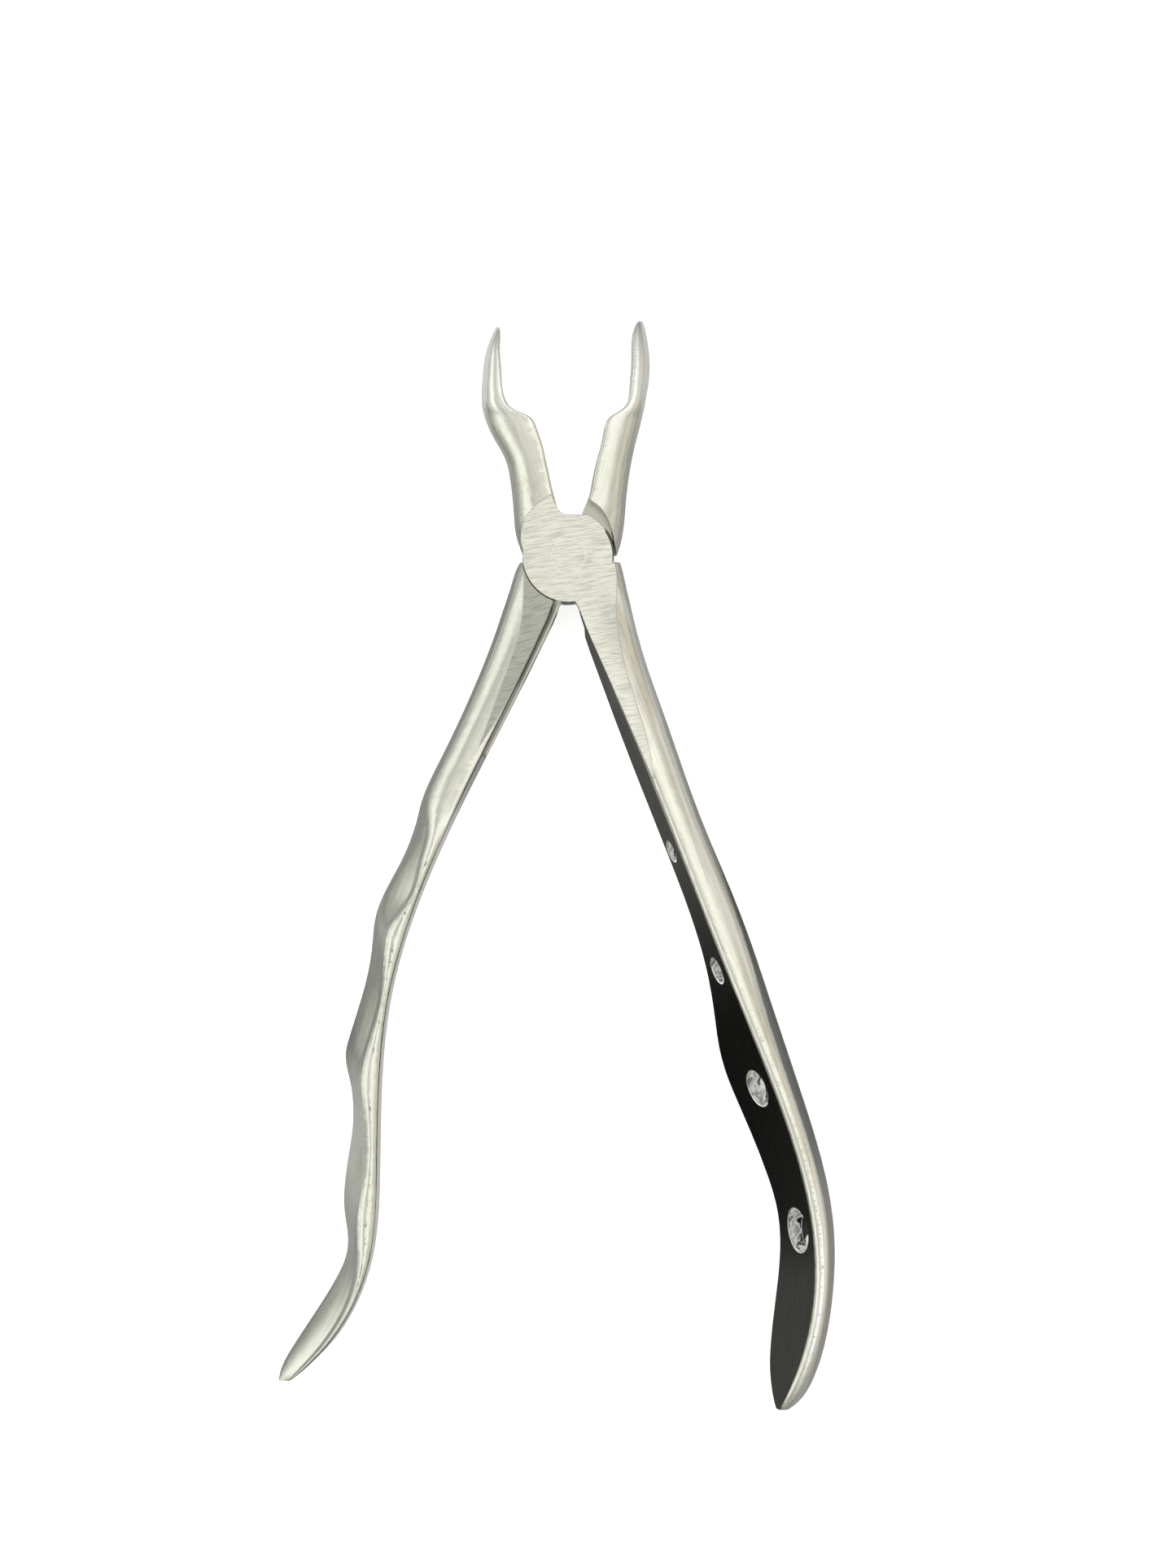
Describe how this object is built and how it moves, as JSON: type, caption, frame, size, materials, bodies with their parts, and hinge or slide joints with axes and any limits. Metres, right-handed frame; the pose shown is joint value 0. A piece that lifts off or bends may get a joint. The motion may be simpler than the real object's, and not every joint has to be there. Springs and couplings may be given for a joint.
{
  "type": "dental extraction forceps",
  "caption": "Steel tooth extraction forceps with slender beaks, a flush lap hinge, a grooved finger handle and a broad perforated palm handle.",
  "frame": {"origin": "centre of the hinge on the joint's front ground face", "axes": "+Z along the hinge axis, out of the front ground face; +Y from the hinge towards the beaks; +X to the palm handle's side"},
  "size_m": [0.0897, 0.1758, 0.0141],
  "materials": {
    "steel_palm": "satin ground stainless steel",
    "steel_finger": "satin ground stainless steel",
    "steel_pin": "ground flush with the joint's faces"
  },
  "bodies": {
    "palm": {"palm_half": "steel_palm", "hinge_pin": "steel_pin"},
    "finger": {"finger_half": "steel_finger"}
  },
  "joints": [
    {"name": "hinge", "type": "hinge", "parent": "palm", "child": "finger", "pos_m": [0, 0, 0], "axis": [0, 0, 1], "range_deg": [-6, 24.5]}
  ]
}
